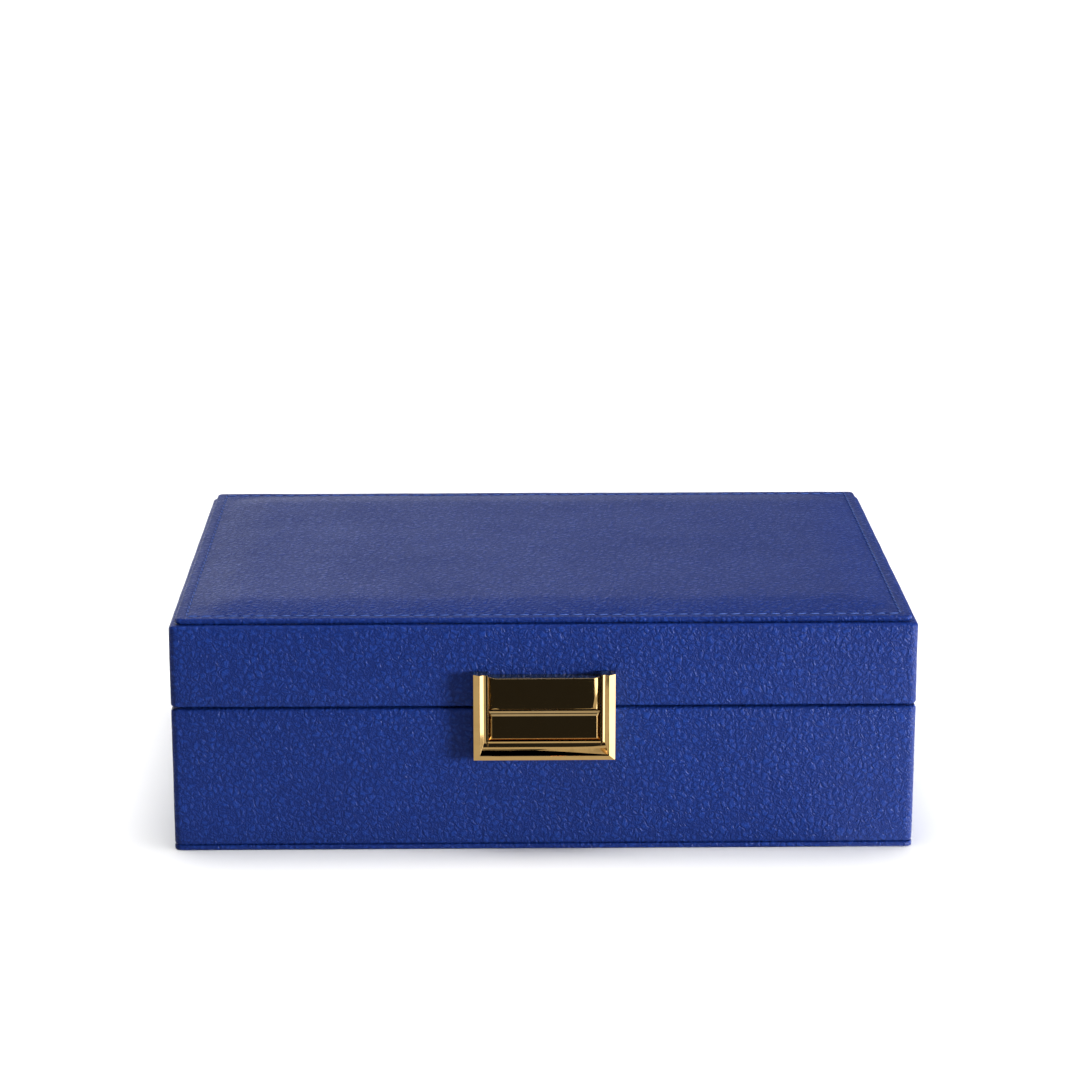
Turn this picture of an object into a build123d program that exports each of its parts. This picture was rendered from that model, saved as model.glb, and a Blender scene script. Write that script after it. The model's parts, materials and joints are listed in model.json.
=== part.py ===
from build123d import *
import os

# A leather-covered jewellery case in two halves, with a sprung push-button lock in front and
# two stop hinges behind. Millimetres. +Z is up, the lock is on the -Y side, and the origin is
# the centre of the underside.

# ---- Case: outside sizes ----
case_width = 230.0
case_depth = 165.0
parting_height = 46.15          # middle of the gap between the two halves, and the hinge axis
lid_height = 28.25              # from the middle of that gap to the top panel's edge
rim_gap = 0.5
corner_radius = 3.0
smallest_corner = 0.3           # a tighter inner corner is left square

# ---- Leather and the panels glued over its turned-in edges ----
leather = 0.9
rim_round = 0.7                 # rounding where the leather turns over a rim
turn_in = 12.0                  # leather glued down under the top and bottom panels
top_panel_edge = 2.0            # height of the top panel's edge
top_panel_round = 0.9
bottom_panel = 1.6
bottom_leather = 0.6
pillow_rise = 1.6               # how far the padding lifts the middle of the top panel
pillow_slope = 16.0
pillow_margin = 1.0             # flat leather between the stitching and the padding
stitch_inset = 3.5
thread_width = 0.5
thread_height = 0.25

# ---- Boards and linings ----
base_board = 7.9
floor_board = 3.0
lid_top_board_thickness = 3.0
base_lining_thickness = 1.2
lid_lining_thickness = 1.0
lip_height = 3.5                # how far the base lining stands up into the lid
lip_clearance = 0.4
floor_pad_thickness = 1.5
fit_gap = 0.1                   # room round the loose-fitted pads, panels and dividers

# ---- Inside fittings ----
divider_thickness = 3.0
divider_below_rim = 8.0
front_zone_depth = 79.0
roll_count = 8
roll_width = 15.0
roll_gap = 0.6
roll_round = 5.0
roll_below_rim = 10.0
middle_tray_width = 67.0
lid_panel_thickness = 3.0
mirror_width = 156.0
mirror_depth = 102.0
mirror_glass = 1.9
mirror_cover = 3.0              # how far the lined frame laps over the mirror
mirror_lip = 1.0                # thickness of that lap

# ---- Hinges ----
hinge_spacing = 140.0
hinge_width = 30.0
hinge_leaf_depth = 8.2          # from the axis to the leaf's inner end
hinge_leaf_thickness = 1.2
hinge_setback = 1.2             # the axis stands this far behind the case
knuckle_radius = 2.0
lid_knuckle_width = 10.0
knuckle_side_gap = 0.15
knuckle_clearance = 0.3
pin_radius = 1.0
pin_fixed_clearance = 0.02
pin_running_clearance = 0.06
pin_head_radius = 1.6
pin_head_height = 0.6
heel_radius = 4.0
heel_angle = 42.0
lid_open_angle = 96.0
heel_clearance = 0.15
hinge_screw_spacing = 20.0
hinge_screw_setback = 6.0       # from the axis
wood_screw_radius = 0.9
wood_screw_head = 1.9
wood_screw_length = 7.0

# ---- Lock: heights are from the parting line, depths are from the leather's face ----
lock_thickness = 5.5
lock_top_margin = 1.1           # how far the arms rise above the hasp
rail_width = 2.0                # the raised outer rail
rail_step = 3.6                 # depth of the groove floor inside the rail
groove_width = 0.6
ledge_width = 1.7
ledge_height = 4.4
lock_opening = 35.0
lock_sill = 6.2                 # solid height under the button
back_plate = 0.8
lid_face_clearance = 0.4
rail_chamfer = 0.4

plate_side_gap = 0.4            # between the hasp or button and the lock frame
hasp_gap = 0.75                 # hasp's lower edge above the parting line
hasp_height = 10.0
hasp_thickness = 4.0
hasp_side_bevel = (2.0, 1.4)    # along the face, then back from it
hasp_low_bevel = (0.6, 0.6)
hasp_top_bevel = (1.0, 0.9)
button_top = 0.25               # button's upper edge above the parting line
button_height = 9.4
button_front = 6.0
button_thickness = 2.2
button_travel = 1.0
button_bevel = (0.8, 0.8)
button_top_bevel = (1.7, 0.9)

guide_spacing = 24.0
guide_radius = 1.0
guide_clearance = 0.05
guide_length = 5.3              # behind the button's head
retainer_radius = 2.2
retainer_thickness = 0.6
retainer_play = 0.05
retainer_pocket = 3.0
retainer_room = 0.2
spring_wire = 0.2
spring_radius = 1.7
spring_turns = 3.0

catch_width = 8.0
catch_thickness = 0.5
catch_back = 1.05               # depth of the strip's rear face
catch_top = 7.85
catch_bottom = 7.55
catch_side_room = 0.6           # round the catch, in the window behind it
catch_low_room = 0.4
nose_reach = 0.65
nose_height = 1.5
nose_ramp = 0.9
keeper_bottom = 5.15
keeper_height = 1.0
keeper_back = 1.7
keeper_front = 2.6
keeper_span = 14.0
keeper_leg = 1.8
nose_clearance = 0.2
pusher_width = 7.0
pusher_height = 1.9

machine_screw_radius = 1.1
machine_screw_head = 2.0
machine_screw_head_height = 1.2
backing_thickness = 1.2
backing_depth = 5.0             # under the board's outer face, base side
hasp_backing_depth = 4.0        # under the board's outer face, lid side
lock_screw_bite = 3.0
lock_screw_low = 3.1            # above the frame's lower edge
lock_screw_high = 2.4           # below the rim
hasp_screw_bite = 2.0
hasp_screw_spacing = 24.0
rivet_radius = 0.7
rivet_head_radius = 1.4
rivet_head_height = 0.5
rivet_length = 2.0
rivet_spacing = 3.0
rivet_low = 2.4                 # above the hasp's lower edge
lock_backing_overhang = 1.2     # beyond the frame's sides
lock_backing_low = 0.6
lock_backing_high = 1.6         # below the rim
hasp_backing_margin = 1.2       # inside the hasp's edges

# ---- Heights and depths that follow from the sizes above ----
base_rim = parting_height - rim_gap / 2
lid_rim = parting_height + rim_gap / 2
panel_edge_top = parting_height + lid_height
lid_wall_top = panel_edge_top - top_panel_edge
board_low = bottom_panel + leather
floor_level = board_low + floor_board + floor_pad_thickness
base_inner = leather + base_board
compartment_inset = base_inner + base_lining_thickness
lid_inner = base_inner - lip_clearance
lid_board_inset = lid_inner - lid_lining_thickness
lid_board = lid_board_inset - leather
lid_ceiling = lid_wall_top - leather - lid_top_board_thickness
divider_top = base_rim - divider_below_rim
front_y = -case_depth / 2
axis_y = case_depth / 2 + hinge_setback
axis_z = parting_height
hasp_bottom = parting_height + hasp_gap
hasp_top = hasp_bottom + hasp_height
button_high = parting_height + button_top
button_low = button_high - button_height
lock_width = lock_opening + 2 * (rail_width + groove_width + ledge_width)
lock_top = hasp_top + lock_top_margin
sill_top = button_low - plate_side_gap
lock_bottom = sill_top - lock_sill
button_mid = (button_high + button_low) / 2
button_rear = button_front - button_thickness
catch_front = catch_back + catch_thickness
plate_width = lock_opening - 2 * plate_side_gap


# ---- Helpers ----
def block(x0, x1, y0, y1, z0, z1):
    """A plain block between two corners."""
    return Pos((x0 + x1) / 2, (y0 + y1) / 2, (z0 + z1) / 2) * Box(x1 - x0, y1 - y0, z1 - z0)


def outline(inset):
    """The case's plan shape, moved in by an inset."""
    width = case_width - 2 * inset
    depth = case_depth - 2 * inset
    if corner_radius - inset > smallest_corner:
        return RectangleRounded(width, depth, corner_radius - inset)
    return Rectangle(width, depth)


def slab(inset, z0, z1):
    """The case's plan shape raised between two heights."""
    return Pos(0, 0, z0) * extrude(outline(inset), amount=z1 - z0)


def rounded_slab(z0, z1, low_round, high_round):
    """The outer slab, with its lower and upper edges rounded."""
    body = slab(0, z0, z1)
    body = fillet(body.edges().group_by(Axis.Z)[0], low_round)
    return fillet(body.edges().group_by(Axis.Z)[-1], high_round)


def front_block(x0, x1, p0, p1, z0, z1):
    """A block on the front wall: p is how far it stands proud of the leather."""
    return block(x0, x1, front_y - p1, front_y - p0, z0, z1)


def front_rod(x, z, p0, p1, radius):
    """A round rod square to the front wall."""
    rod = Rot(90, 0, 0) * Cylinder(radius, p1 - p0)
    return Pos(x, front_y - (p0 + p1) / 2, z) * rod


def bevelled_plate(z0, z1, p0, p1, side, low, high):
    """A plate whose front face is bevelled. Each bevel is (run along the face, depth)."""
    half = plate_width / 2
    upright = Polygon((front_y - p0, z0), (front_y - p1 + low[1], z0), (front_y - p1, z0 + low[0]),
                      (front_y - p1, z1 - high[0]), (front_y - p1 + high[1], z1), (front_y - p0, z1))
    level = Polygon((-half, front_y - p0), (-half, front_y - p1 + side[1]), (-half + side[0], front_y - p1),
                    (half - side[0], front_y - p1), (half, front_y - p1 + side[1]), (half, front_y - p0))
    across = extrude(Plane.YZ * upright, amount=half, both=True)
    return across & Pos(0, 0, z0) * extrude(level, amount=z1 - z0)


def u_shape(outer, inner, z0, sill, z1, p0, p1):
    """A U, open at the top, standing on the front wall."""
    u = front_block(-outer, outer, p0, p1, z0, z1)
    return u - front_block(-inner, inner, p0 - 1, p1 + 1, sill, z1 + 1)


def mirrored(place):
    """The same place on the left and on the right."""
    return (-place, place)


# ---- Hinges ----
hinge_xs = mirrored(hinge_spacing / 2)


def hinge_plane(x):
    """Axes at a hinge: its own x runs rearwards, its own y runs up, its own z runs along the pin."""
    return Plane(origin=(x, axis_y, axis_z), x_dir=(0, 1, 0), z_dir=(1, 0, 0))


def hinge_barrel(x, width, radius):
    return hinge_plane(x) * Cylinder(radius, width)


def hinge_heel(x, width, start_angle):
    """A stop: a sector round the axis. Angles run up from straight behind the axis."""
    on_axis = (Align.NONE, Align.NONE, Align.CENTER)
    return hinge_plane(x) * (Rot(0, 0, start_angle) * Cylinder(heel_radius, width, heel_angle, align=on_axis))


def hinge_leaf_plate(x, z0):
    half = hinge_width / 2
    end_y = axis_y - hinge_leaf_depth
    return block(x - half, x + half, end_y, axis_y - pin_radius, z0, z0 + hinge_leaf_thickness)


def hinge_mortise(x, z0):
    """Room in a rim for a leaf, and behind it for the knuckles."""
    half = hinge_width / 2 + fit_gap
    end_y = axis_y - hinge_leaf_depth - fit_gap
    leaf = block(x - half, x + half, end_y, axis_y, z0, z0 + hinge_leaf_thickness)
    width = hinge_width + 2 * (pin_head_height + knuckle_clearance)
    return leaf + hinge_barrel(x, width, knuckle_radius + knuckle_clearance)


def screw_xs(x):
    return [x + side for side in mirrored(hinge_screw_spacing / 2)]


def hinge_screw(x, direction):
    """A countersunk wood screw. Direction is -1 down into the base or 1 up into the lid."""
    face = base_rim if direction < 0 else lid_rim
    wide, narrow = wood_screw_head, wood_screw_radius
    radii = (narrow, wide) if direction < 0 else (wide, narrow)
    head = Pos(0, 0, face + direction * hinge_leaf_thickness / 2) * Cone(*radii, hinge_leaf_thickness)
    shank_mid = face + direction * (hinge_leaf_thickness + wood_screw_length / 2)
    shank = Pos(0, 0, shank_mid) * Cylinder(narrow, wood_screw_length)
    return Pos(x, axis_y - hinge_screw_setback, 0) * (head + shank)


def hinge_screws(direction):
    return [hinge_screw(sx, direction) for x in hinge_xs for sx in screw_xs(x)]


def hinge_base_leaf(x):
    # Two knuckles, with the stop heel across all three, under the axis.
    leaf = hinge_leaf_plate(x, base_rim - hinge_leaf_thickness) + hinge_barrel(x, hinge_width, knuckle_radius)
    leaf += hinge_heel(x, hinge_width, -90)
    leaf -= hinge_barrel(x, lid_knuckle_width + 2 * knuckle_side_gap, knuckle_radius + heel_clearance)
    leaf -= hinge_barrel(x, hinge_width + 2, pin_radius + pin_fixed_clearance)
    for sx in screw_xs(x):
        leaf -= hinge_screw(sx, -1)
    return leaf


def hinge_lid_leaf(x):
    # One knuckle, with the stop heel behind and over the axis.
    leaf = hinge_leaf_plate(x, lid_rim)
    side_width = (hinge_width - lid_knuckle_width) / 2
    for side in mirrored((lid_knuckle_width + side_width) / 2):
        leaf -= hinge_barrel(x + side, side_width, knuckle_radius + heel_clearance)
    leaf += hinge_barrel(x, lid_knuckle_width, knuckle_radius)
    leaf += hinge_heel(x, lid_knuckle_width, lid_open_angle - 90 + heel_angle)
    leaf -= hinge_barrel(x, hinge_width + 2, pin_radius + pin_running_clearance)
    for sx in screw_xs(x):
        leaf -= hinge_screw(sx, 1)
    return leaf


def hinge_pin(x):
    pin = hinge_barrel(x, hinge_width, pin_radius)
    for side in mirrored((hinge_width + pin_head_height) / 2):
        pin += hinge_barrel(x + side, pin_head_height, pin_head_radius)
    return pin


# ---- Lock fasteners ----
lock_screw_places = [(x, z) for x in mirrored((lock_width + lock_opening) / 4)
                     for z in (lock_bottom + lock_screw_low, base_rim - lock_screw_high)]
hasp_screw_places = [(x, (hasp_bottom + hasp_top) / 2) for x in mirrored(hasp_screw_spacing / 2)]
rivet_places = [hasp_bottom + rivet_low + i * rivet_spacing for i in range(2)]
base_backing = leather + backing_depth
lid_backing = leather + hasp_backing_depth


def machine_screw(x, z, bite, plate_depth):
    """A screw from inside the wall, through its backing plate, into the metal in front."""
    under_head = -plate_depth - backing_thickness
    head = front_rod(x, z, under_head - machine_screw_head_height, under_head, machine_screw_head)
    return front_rod(x, z, under_head, bite, machine_screw_radius) + head


def lock_screws():
    return [machine_screw(x, z, lock_screw_bite, base_backing) for x, z in lock_screw_places]


def hasp_screws():
    return [machine_screw(x, z, hasp_screw_bite, lid_backing) for x, z in hasp_screw_places]


def backing_plate(half_width, z0, z1, depth, screws):
    plate = front_block(-half_width, half_width, -depth - backing_thickness, -depth, z0, z1)
    for screw in screws:
        plate -= screw
    return plate


lock_backing_box = (lock_width / 2 + lock_backing_overhang,
                    lock_bottom + lock_backing_low, base_rim - lock_backing_high)
hasp_backing_box = (plate_width / 2 - hasp_backing_margin,
                    hasp_bottom + hasp_backing_margin, hasp_top - hasp_backing_margin)


def backing_pocket(box, depth, wall):
    """The mortise for a backing plate and its screw heads, open to the inside."""
    half_width, z0, z1 = box
    side = half_width + fit_gap
    return front_block(-side, side, -wall, -depth, z0 - fit_gap, z1 + fit_gap)


def catch_rivet(z):
    head = front_rod(0, z, catch_back - rivet_head_height, catch_back, rivet_head_radius)
    return head + front_rod(0, z, catch_back, catch_back + rivet_length, rivet_radius)


# ---- Lock ----
def lock_frame():
    outer = lock_width / 2
    inner = lock_opening / 2
    frame = u_shape(outer, inner, lock_bottom, sill_top, lock_top, 0, rail_step)
    rail_sill = lock_bottom + rail_width
    rail = u_shape(outer, outer - rail_width, lock_bottom, rail_sill, lock_top, rail_step, lock_thickness)
    rail = chamfer(rail.edges().group_by(Axis.Y)[0], rail_chamfer)
    ledge_out = outer - rail_width - groove_width
    ledge_low = rail_sill + groove_width
    ledge = u_shape(ledge_out, inner, ledge_low, sill_top, lock_top, rail_step, ledge_height)
    frame = frame + rail + ledge
    # The arms stand clear of the lid's leather, so that the lid can lift out from between them.
    frame -= front_block(-outer - 1, outer + 1, -1, lid_face_clearance, base_rim, lock_top + 1)
    frame += front_block(-inner, inner, 0, back_plate, sill_top, base_rim - fit_gap)
    # Behind the catch the plate is open, which gives the catch room to be pushed back.
    window = catch_width / 2 + catch_side_room
    window_low = parting_height - catch_bottom - catch_low_room
    frame -= front_block(-window, window, -1, back_plate, window_low, base_rim)
    # The keeper is a staple over the catch, with its two legs on the plate.
    keeper_z = parting_height - keeper_bottom
    keeper_top = keeper_z + keeper_height
    half = keeper_span / 2
    staple = front_block(-half, half, back_plate, keeper_front, keeper_z, keeper_top)
    half -= keeper_leg
    staple -= front_block(-half, half, 0, keeper_back, keeper_z, keeper_top)
    frame += staple
    for x in mirrored(guide_spacing / 2):
        frame -= front_rod(x, button_mid, -1, back_plate + 1, guide_radius + guide_clearance)
    for screw in lock_screws():
        frame -= screw
    return frame


def push_button():
    head = bevelled_plate(button_low, button_high, button_rear, button_front,
                          button_bevel, button_bevel, button_top_bevel)
    for x in mirrored(guide_spacing / 2):
        head += front_rod(x, button_mid, button_rear - guide_length, button_rear, guide_radius)
    # The pusher meets the catch's nose just under the keeper.
    nose_front = catch_front + nose_reach
    pusher_high = parting_height - keeper_bottom - nose_clearance
    head += front_block(-pusher_width / 2, pusher_width / 2, nose_front + nose_clearance, button_rear,
                        pusher_high - pusher_height, pusher_high)
    return head


def button_retainers():
    rings = []
    for x in mirrored(guide_spacing / 2):
        back = -retainer_play - retainer_thickness
        ring = front_rod(x, button_mid, back, -retainer_play, retainer_radius)
        rings.append(ring - front_rod(x, button_mid, back - 1, 1, guide_radius))
    return rings


def button_spring(x):
    room = button_rear - back_plate
    height = room - 2 * spring_wire
    path = Helix(pitch=height / spring_turns, height=height, radius=spring_radius)
    coil = sweep(Plane(origin=path @ 0, z_dir=path % 0) * Circle(spring_wire), path=path, is_frenet=True)
    return Pos(x, front_y - back_plate - spring_wire, button_mid) * (Rot(90, 0, 0) * coil)


def catch_spring():
    half = catch_width / 2
    strip_top = parting_height + catch_top
    strip = front_block(-half, half, catch_back, catch_front, parting_height - catch_bottom, strip_top)
    high = parting_height - keeper_bottom - nose_clearance
    face = front_y - catch_front
    tip = face - nose_reach
    low = high - nose_height
    nose = Polygon((face, high), (tip, high), (tip, low + nose_ramp), (face, low))
    strip += extrude(Plane.YZ * nose, amount=half, both=True)
    for z in rivet_places:
        strip -= front_rod(0, z, 0, catch_front + 1, rivet_radius)
    return strip


def hasp_plate():
    plate = bevelled_plate(hasp_bottom, hasp_top, 0, hasp_thickness,
                           hasp_side_bevel, hasp_low_bevel, hasp_top_bevel)
    half = catch_width / 2 + fit_gap
    plate -= front_block(-half, half, -1, catch_front, hasp_bottom - 1, parting_height + catch_top + fit_gap)
    for screw in hasp_screws():
        plate -= screw
    for z in rivet_places:
        plate -= catch_rivet(z)
    return plate


# ---- Base ----
def base_cut():
    """Everything that is let into the base's walls from outside."""
    cut = [hinge_mortise(x, base_rim - hinge_leaf_thickness) for x in hinge_xs]
    cut += hinge_screws(-1) + lock_screws()
    cut.append(backing_pocket(lock_backing_box, base_backing, base_inner))
    for x in mirrored(guide_spacing / 2):
        cut.append(front_rod(x, button_mid, -retainer_pocket, 0, retainer_radius + retainer_room))
    return cut


def lid_cut():
    """Everything that is let into the lid's walls from outside."""
    cut = [hinge_mortise(x, lid_rim) for x in hinge_xs] + hinge_screws(1) + hasp_screws()
    cut.append(backing_pocket(hasp_backing_box, lid_backing, lid_board_inset))
    return cut


def less(body, cuts):
    for cut in cuts:
        body -= cut
    return body


def wall_boards(inset, thickness, z0, z1, cuts):
    """Front, rear, left and right boards, butted at the corners."""
    ring = slab(inset, z0, z1) - slab(inset + thickness, z0, z1)
    far_x = case_width
    end_y = case_depth / 2 - inset - thickness
    zones = {"front": block(-far_x, far_x, -case_depth, -end_y, z0, z1),
             "rear": block(-far_x, far_x, end_y, case_depth, z0, z1),
             "left": block(-far_x, 0, -end_y, end_y, z0, z1),
             "right": block(0, far_x, -end_y, end_y, z0, z1)}
    return {side: less(ring & zone, cuts) for side, zone in zones.items()}


def base_cover():
    # Leather round the walls, turned over the rim and under the bottom panel.
    skin = rounded_slab(bottom_panel, base_rim, rim_round, rim_round)
    skin -= slab(leather, board_low, base_rim - leather)
    skin -= slab(turn_in, bottom_panel, board_low)
    skin -= slab(base_inner, base_rim - leather, base_rim)
    return less(skin, base_cut())


def bottom_cover():
    panel = rounded_slab(0, bottom_panel, bottom_leather, bottom_leather)
    return panel - slab(leather, bottom_leather, bottom_panel)


def ring_roll(index):
    left = -case_width / 2 + compartment_inset + roll_gap + index * (roll_width + roll_gap)
    front = front_y + compartment_inset
    roll = block(left, left + roll_width, front + roll_gap, front + front_zone_depth - roll_gap,
                 floor_level, base_rim - roll_below_rim)
    return fillet(roll.edges().filter_by(Axis.Y).group_by(Axis.Z)[-1], roll_round)


def divider(x0, x1, y0, y1):
    return block(x0, x1, y0, y1, floor_level, divider_top)


def base_parts():
    half_x = case_width / 2 - compartment_inset
    half_y = case_depth / 2 - compartment_inset
    long_y = -half_y + front_zone_depth
    ring_x = -half_x + roll_count * (roll_width + roll_gap) + roll_gap
    rear_y = long_y + divider_thickness
    tray = middle_tray_width / 2
    long_half = half_x - fit_gap
    nodes = {}
    for side, board in wall_boards(leather, base_board, board_low, base_rim - leather, base_cut()).items():
        nodes[f"base_{side}_board"] = board
    floor_top = board_low + floor_board
    lip_top = base_rim + lip_height
    for side, panel in wall_boards(base_inner, base_lining_thickness, floor_top, lip_top, []).items():
        nodes[f"base_{side}_lining"] = panel
    nodes["bottom_board"] = slab(base_inner, board_low, floor_top)
    nodes["bottom_card"] = slab(leather, bottom_leather, bottom_panel)
    nodes["bottom_cover"] = bottom_cover()
    nodes["base_cover"] = base_cover()
    nodes["floor_pad"] = slab(compartment_inset + fit_gap, floor_top, floor_level)
    nodes["long_divider"] = divider(-long_half, long_half, long_y, rear_y)
    nodes["ring_divider"] = divider(ring_x, ring_x + divider_thickness, -half_y + fit_gap, long_y - fit_gap)
    for name, side in (("left", -1), ("right", 1)):
        near, far = sorted((side * tray, side * (tray + divider_thickness)))
        nodes[f"cross_divider_{name}"] = divider(near, far, rear_y + fit_gap, half_y - fit_gap)
    for index in range(roll_count):
        nodes[f"ring_roll_{index + 1}"] = ring_roll(index)
    return nodes


# ---- Lid ----
def lid_cover():
    # Leather round the walls, turned over the rim and in under the top panel.
    skin = rounded_slab(lid_rim, lid_wall_top, rim_round, rim_round)
    skin -= slab(leather, lid_rim + leather, lid_wall_top - leather)
    skin -= slab(turn_in, lid_wall_top - leather, lid_wall_top)
    skin -= slab(lid_board_inset, lid_rim, lid_rim + leather)
    return less(skin, lid_cut())


def pillow(z):
    """The raised middle of the top panel, over its own padding."""
    start = stitch_inset + pillow_margin
    low = Pos(0, 0, z) * outline(start)
    high = Pos(0, 0, z + pillow_rise) * outline(start + pillow_slope)
    return loft([low.faces()[0], high.faces()[0]], ruled=True)


def top_cover():
    card_top = panel_edge_top - leather
    panel = rounded_slab(lid_wall_top, panel_edge_top, rim_round, top_panel_round) + pillow(panel_edge_top)
    return panel - slab(leather, lid_wall_top, card_top) - pillow(card_top)


def top_stitching():
    inner, outer = stitch_inset + thread_width / 2, stitch_inset - thread_width / 2
    top = panel_edge_top + thread_height
    return slab(outer, panel_edge_top, top) - slab(inner, panel_edge_top, top)


def lid_panel():
    # The lined panel inside the lid, rebated from above for the mirror.
    low = lid_ceiling - lid_panel_thickness
    panel = slab(lid_inner + fit_gap, low, lid_ceiling)
    half_x, half_y = mirror_width / 2 + fit_gap, mirror_depth / 2 + fit_gap
    panel -= block(-half_x, half_x, -half_y, half_y, low + mirror_lip, lid_ceiling)
    half_x, half_y = mirror_width / 2 - mirror_cover, mirror_depth / 2 - mirror_cover
    return panel - block(-half_x, half_x, -half_y, half_y, low, lid_ceiling)


def mirror_plate():
    low = lid_ceiling - lid_panel_thickness + mirror_lip
    half_x, half_y = mirror_width / 2, mirror_depth / 2
    return block(-half_x, half_x, -half_y, half_y, low, low + mirror_glass)


def lid_parts():
    nodes = {}
    boards = wall_boards(leather, lid_board, lid_rim + leather, lid_wall_top - leather, lid_cut())
    for side, board in boards.items():
        nodes[f"lid_{side}_board"] = board
    nodes["lid_top_board"] = slab(lid_board_inset, lid_ceiling, lid_wall_top - leather)
    lining = slab(lid_board_inset, lid_rim, lid_ceiling) - slab(lid_inner, lid_rim, lid_ceiling)
    nodes["lid_lining"] = less(lining, [hinge_mortise(x, lid_rim) for x in hinge_xs])
    nodes["lid_cover"] = lid_cover()
    nodes["top_card"] = slab(leather, lid_wall_top, panel_edge_top - leather)
    nodes["top_padding"] = pillow(panel_edge_top - leather)
    nodes["top_cover"] = top_cover()
    nodes["top_stitching"] = top_stitching()
    nodes["lid_panel"] = lid_panel()
    nodes["mirror"] = mirror_plate()
    return nodes


def metal_parts():
    nodes = {}
    for name, x in zip(("left", "right"), hinge_xs):
        nodes[f"hinge_{name}_base_leaf"] = hinge_base_leaf(x)
        nodes[f"hinge_{name}_lid_leaf"] = hinge_lid_leaf(x)
        nodes[f"hinge_{name}_pin"] = hinge_pin(x)
    nodes["hinge_base_screws"] = Compound(hinge_screws(-1))
    nodes["hinge_lid_screws"] = Compound(hinge_screws(1))
    nodes["lock_frame"] = lock_frame()
    nodes["lock_backing_plate"] = backing_plate(*lock_backing_box, base_backing, lock_screws())
    nodes["lock_screws"] = Compound(lock_screws())
    nodes["hasp_plate"] = hasp_plate()
    nodes["hasp_backing_plate"] = backing_plate(*hasp_backing_box, lid_backing, hasp_screws())
    nodes["hasp_screws"] = Compound(hasp_screws())
    nodes["catch_spring"] = catch_spring()
    nodes["catch_rivets"] = Compound([catch_rivet(z) for z in rivet_places])
    nodes["push_button"] = push_button()
    nodes["button_retainers"] = Compound(button_retainers())
    for name, x in zip(("left", "right"), mirrored(guide_spacing / 2)):
        nodes[f"button_spring_{name}"] = button_spring(x)
    return nodes


os.makedirs("parts", exist_ok=True)
for node, shape in {**base_parts(), **lid_parts(), **metal_parts()}.items():
    export_step(shape, f"parts/{node}.step")
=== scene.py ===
import json
import math

import bmesh
import bpy
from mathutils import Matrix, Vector


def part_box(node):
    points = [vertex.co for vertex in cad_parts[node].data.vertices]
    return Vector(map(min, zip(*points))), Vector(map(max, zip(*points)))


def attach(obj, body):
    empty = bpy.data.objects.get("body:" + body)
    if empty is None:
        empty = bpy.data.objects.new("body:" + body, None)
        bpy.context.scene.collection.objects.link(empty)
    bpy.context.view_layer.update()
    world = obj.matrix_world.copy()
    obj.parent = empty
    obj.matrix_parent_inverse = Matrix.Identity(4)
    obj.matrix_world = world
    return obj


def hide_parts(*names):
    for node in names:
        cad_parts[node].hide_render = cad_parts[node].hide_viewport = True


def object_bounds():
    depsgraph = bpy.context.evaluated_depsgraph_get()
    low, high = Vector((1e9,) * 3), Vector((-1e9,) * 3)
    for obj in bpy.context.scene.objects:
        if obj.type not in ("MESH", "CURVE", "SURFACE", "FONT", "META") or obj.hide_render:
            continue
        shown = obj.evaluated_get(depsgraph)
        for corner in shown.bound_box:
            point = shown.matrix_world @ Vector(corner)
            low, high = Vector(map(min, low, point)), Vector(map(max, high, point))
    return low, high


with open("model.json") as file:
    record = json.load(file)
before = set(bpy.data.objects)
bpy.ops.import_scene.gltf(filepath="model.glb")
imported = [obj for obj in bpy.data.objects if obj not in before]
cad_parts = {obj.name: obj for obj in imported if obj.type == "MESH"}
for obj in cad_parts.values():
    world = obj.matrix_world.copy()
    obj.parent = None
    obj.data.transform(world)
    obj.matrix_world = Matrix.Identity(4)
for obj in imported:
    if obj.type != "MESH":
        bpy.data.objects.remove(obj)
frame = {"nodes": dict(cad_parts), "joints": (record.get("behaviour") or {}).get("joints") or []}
cad_low, cad_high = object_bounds()

# ---- Bottom panel ----
# Grey card covered in thin blue hide, glued under the case over the leather's turned-in edges.
# The hide wraps the card's edge, so that a dark groove shows between it and the walls.
MM = 0.001
CORNER = 2.3 * MM          # the case's upright corners
RIM = 1.1 * MM             # where the hide turns over an edge
PANEL_RIM = 0.5 * MM       # the bottom panel's edges, above and below
PEBBLES_PER_MM = 0.50
CRUMBS_PER_MM = 1.02       # the finer grain on top of the pebbles
GRAIN_RELIEF = 0.24 * MM


def block(name, low, high):
    """A cube primitive at its real size and place, with its object at the origin."""
    bpy.ops.object.select_all(action="DESELECT")
    low, high = Vector(low), Vector(high)
    bpy.ops.mesh.primitive_cube_add(size=1, location=(low + high) / 2, scale=high - low)
    bpy.ops.object.transform_apply(location=True, rotation=True, scale=True)
    piece = bpy.context.object
    piece.name = piece.data.name = name
    return piece


def edit(piece):
    """Opens a piece in edit mode with nothing selected."""
    bpy.ops.object.select_all(action="DESELECT")
    piece.select_set(True)
    bpy.context.view_layer.objects.active = piece
    bpy.ops.object.mode_set(mode="EDIT")
    bpy.ops.mesh.select_all(action="DESELECT")


def pick(piece, kind, test):
    """In edit mode, selects the faces or edges that pass the test, and nothing else."""
    bpy.ops.mesh.select_mode(type=kind)
    bpy.ops.mesh.select_all(action="DESELECT")
    mesh = bmesh.from_edit_mesh(piece.data)
    items = mesh.faces if kind == "FACE" else mesh.edges
    for item in [i for i in items if test(i)]:
        item.select_set(True)
    bmesh.update_edit_mesh(piece.data)


def upright(edge):
    """True for an edge that stands up."""
    run = edge.verts[1].co - edge.verts[0].co
    return abs(run.z) > 0.9 * run.length


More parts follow.
